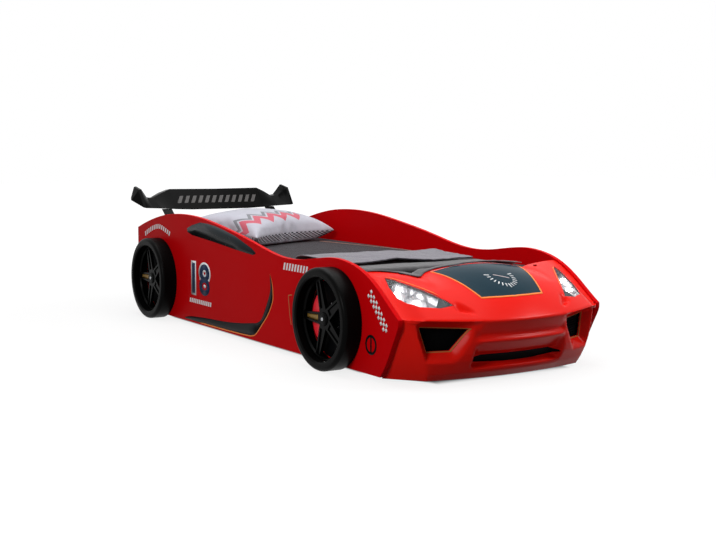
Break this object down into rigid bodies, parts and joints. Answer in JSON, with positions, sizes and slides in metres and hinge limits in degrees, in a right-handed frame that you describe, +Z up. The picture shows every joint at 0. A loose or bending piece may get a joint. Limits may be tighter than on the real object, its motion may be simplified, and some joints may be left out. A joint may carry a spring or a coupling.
{
  "type": "car bed for children",
  "caption": "Child's bed shaped like a sports car, with side panels, moulded nose, lit headlights, fixed wheels, rear spoiler, slatted base and bedding.",
  "frame": {"origin": "on the floor, under the centre of the whole bed's box", "axes": "+X to the car's left, -Y towards the nose, +Z up"},
  "size_m": [1.1094, 2.607, 0.626],
  "materials": {
    "red_lacquered_board": "satin",
    "pine": "matte",
    "red_abs": "gloss",
    "black_abs": "gloss",
    "black_matte_abs": "matte",
    "calliper_red": "gloss",
    "silver_abs": "satin",
    "post_abs": "satin",
    "zinc_steel": "satin",
    "clear_lens": "gloss",
    "housing_silver": "gloss",
    "led_white": "satin",
    "lead_pvc": "matte",
    "circuit_board": "satin",
    "box_plastic": "matte",
    "glide_plastic": "satin",
    "mattress_cloth": "matte",
    "bedspread_cloth": "matte",
    "blanket_cloth": "matte",
    "pillow_cloth": "matte"
  },
  "bodies": {
    "root": {"bed_slats": "pine", "bracket_screws": "zinc_steel", "brake_calliper_front_left": "calliper_red", "brake_calliper_front_right": "calliper_red", "brake_calliper_rear_left": "calliper_red", "brake_calliper_rear_right": "calliper_red", "brake_disc_front_left": "black_matte_abs", "brake_disc_front_right": "black_matte_abs", "brake_disc_rear_left": "black_matte_abs", "brake_disc_rear_right": "black_matte_abs", "cable_clips": "box_plastic", "centre_beam": "pine", "centre_legs": "pine", "control_board": "circuit_board", "control_box_base": "box_plastic", "control_box_cover": "box_plastic", "corner_brackets": "zinc_steel", "dc_inlet": "box_plastic", "foot_glides": "glide_plastic", "front_board": "red_lacquered_board", "headlight_housing_left": "housing_silver", "headlight_housing_right": "housing_silver", "headlight_lead_left": "lead_pvc", "headlight_lead_right": "lead_pvc", "headlight_lens_left": "clear_lens", "headlight_lens_right": "clear_lens", "hub_caps": "silver_abs", "intake_mesh_left": "black_matte_abs", "intake_mesh_right": "black_matte_abs", "led_module_left": "led_white", "led_module_right": "led_white", "lower_grille": "black_matte_abs", "nose_brackets": "zinc_steel", "nose_screws": "zinc_steel", "nose_shell": "red_abs", "rail_screws": "zinc_steel", "rear_board": "red_lacquered_board", "side_panel_left": "red_lacquered_board", "side_panel_right": "red_lacquered_board", "side_rail_left": "pine", "side_rail_right": "pine", "spoiler_post_left": "post_abs", "spoiler_post_right": "post_abs", "spoiler_screws": "zinc_steel", "spoiler_wing": "black_abs", "wheel_rim_front_left": "black_abs", "wheel_rim_front_right": "black_abs", "wheel_rim_rear_left": "black_abs", "wheel_rim_rear_right": "black_abs", "wheel_screws": "zinc_steel", "wheel_tyre_front_left": "black_abs", "wheel_tyre_front_right": "black_abs", "wheel_tyre_rear_left": "black_abs", "wheel_tyre_rear_right": "black_abs"},
    "bedding": {"mattress": "mattress_cloth", "bedspread": "bedspread_cloth", "folded_blanket": "blanket_cloth"},
    "pillow_body": {"pillow": "pillow_cloth"},
    "rocker": {"power_rocker": "box_plastic"}
  },
  "joints": [
    {"name": "bedding_lift", "type": "slide", "parent": "root", "child": "bedding", "axis": [0, 0, 1], "range_m": [0, 0.35]},
    {"name": "pillow_lift", "type": "slide", "parent": "bedding", "child": "pillow_body", "axis": [0, 0, 1], "range_m": [0, 0.3]},
    {"name": "power_switch", "type": "hinge", "parent": "root", "child": "rocker", "pos_m": [-0.03, -0.868, 0.105], "axis": [1, 0, 0], "range_deg": [0, 16]}
  ]
}
